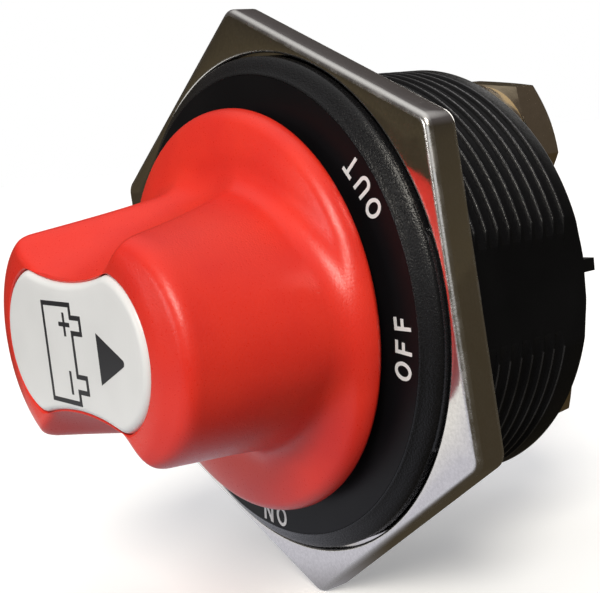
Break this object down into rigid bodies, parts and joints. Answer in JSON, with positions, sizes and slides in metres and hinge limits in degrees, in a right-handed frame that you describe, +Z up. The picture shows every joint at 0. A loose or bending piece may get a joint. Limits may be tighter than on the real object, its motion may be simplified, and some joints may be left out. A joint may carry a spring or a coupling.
{
  "type": "battery switch",
  "caption": "Panel-mounted marine battery switch: threaded round body, hexagon lock nut, two rear studs and a red key knob that turns from OFF to ON or OUT.",
  "frame": {"origin": "on the switch's axis, at the plane where the panel's front face meets the gasket under the flange", "axes": "-Y out of the panel towards the knob, +Y to the terminals, +Z up along the line of the studs, +X to the OFF mark"},
  "size_m": [0.0646, 0.0723, 0.0706],
  "materials": {
    "black_body": "fine-grain glass-filled moulding",
    "black_rubber": "smooth",
    "nickel": "polished nickel plate",
    "zinc_plate": "bright zinc plate",
    "tinned_copper": "tin plate over copper",
    "red_knob": "satin moulding",
    "white_label": "satin plate",
    "pale_moulding": "natural acetal",
    "spring_steel": "bright",
    "bare_copper": "bare copper",
    "silver": "silver contact face"
  },
  "bodies": {
    "switch_body": {"housing": "black_body", "dial_ring": "black_body", "panel_gasket": "black_rubber", "rear_cover": "black_body", "cover_seal": "black_rubber", "cover_screws": "zinc_plate", "upper_stud": "tinned_copper", "lower_stud": "tinned_copper", "stud_seals": "black_rubber", "flat_washers": "zinc_plate", "spring_washers": "zinc_plate", "stud_nuts": "zinc_plate", "detent_balls": "spring_steel", "detent_springs": "spring_steel"},
    "rotor": {"rotor": "pale_moulding", "rotor_oring": "black_rubber", "thrust_washer": "pale_moulding"},
    "key": {"knob": "red_knob", "knob_label": "white_label", "key_shank": "pale_moulding", "shank_oring": "black_rubber", "knob_screw": "zinc_plate"},
    "carriage": {"contact_carriage": "pale_moulding", "contact_bridge": "bare_copper", "contact_tips": "silver", "pressure_spring": "spring_steel", "bridge_clip": "spring_steel"},
    "nut": {"lock_nut": "nickel"}
  },
  "joints": [
    {"name": "switch_turn", "type": "hinge", "parent": "switch_body", "child": "rotor", "pos_m": [0, 0, 0], "axis": [0, -1, 0], "range_deg": [-90, 40]},
    {"name": "key_pull", "type": "slide", "parent": "rotor", "child": "key", "axis": [0, -1, 0], "range_m": [0, 0.025]},
    {"name": "carriage_travel", "type": "slide", "parent": "switch_body", "child": "carriage", "axis": [0, -1, 0], "range_m": [-0.00271, 0.00121]},
    {"name": "nut_run", "type": "slide", "parent": "switch_body", "child": "nut", "axis": [0, 1, 0], "range_m": [0, 0.016]}
  ],
  "couplings": [
    {"joint": "carriage_travel", "follows": "switch_turn", "m_per_rad": 0.0017189}
  ]
}
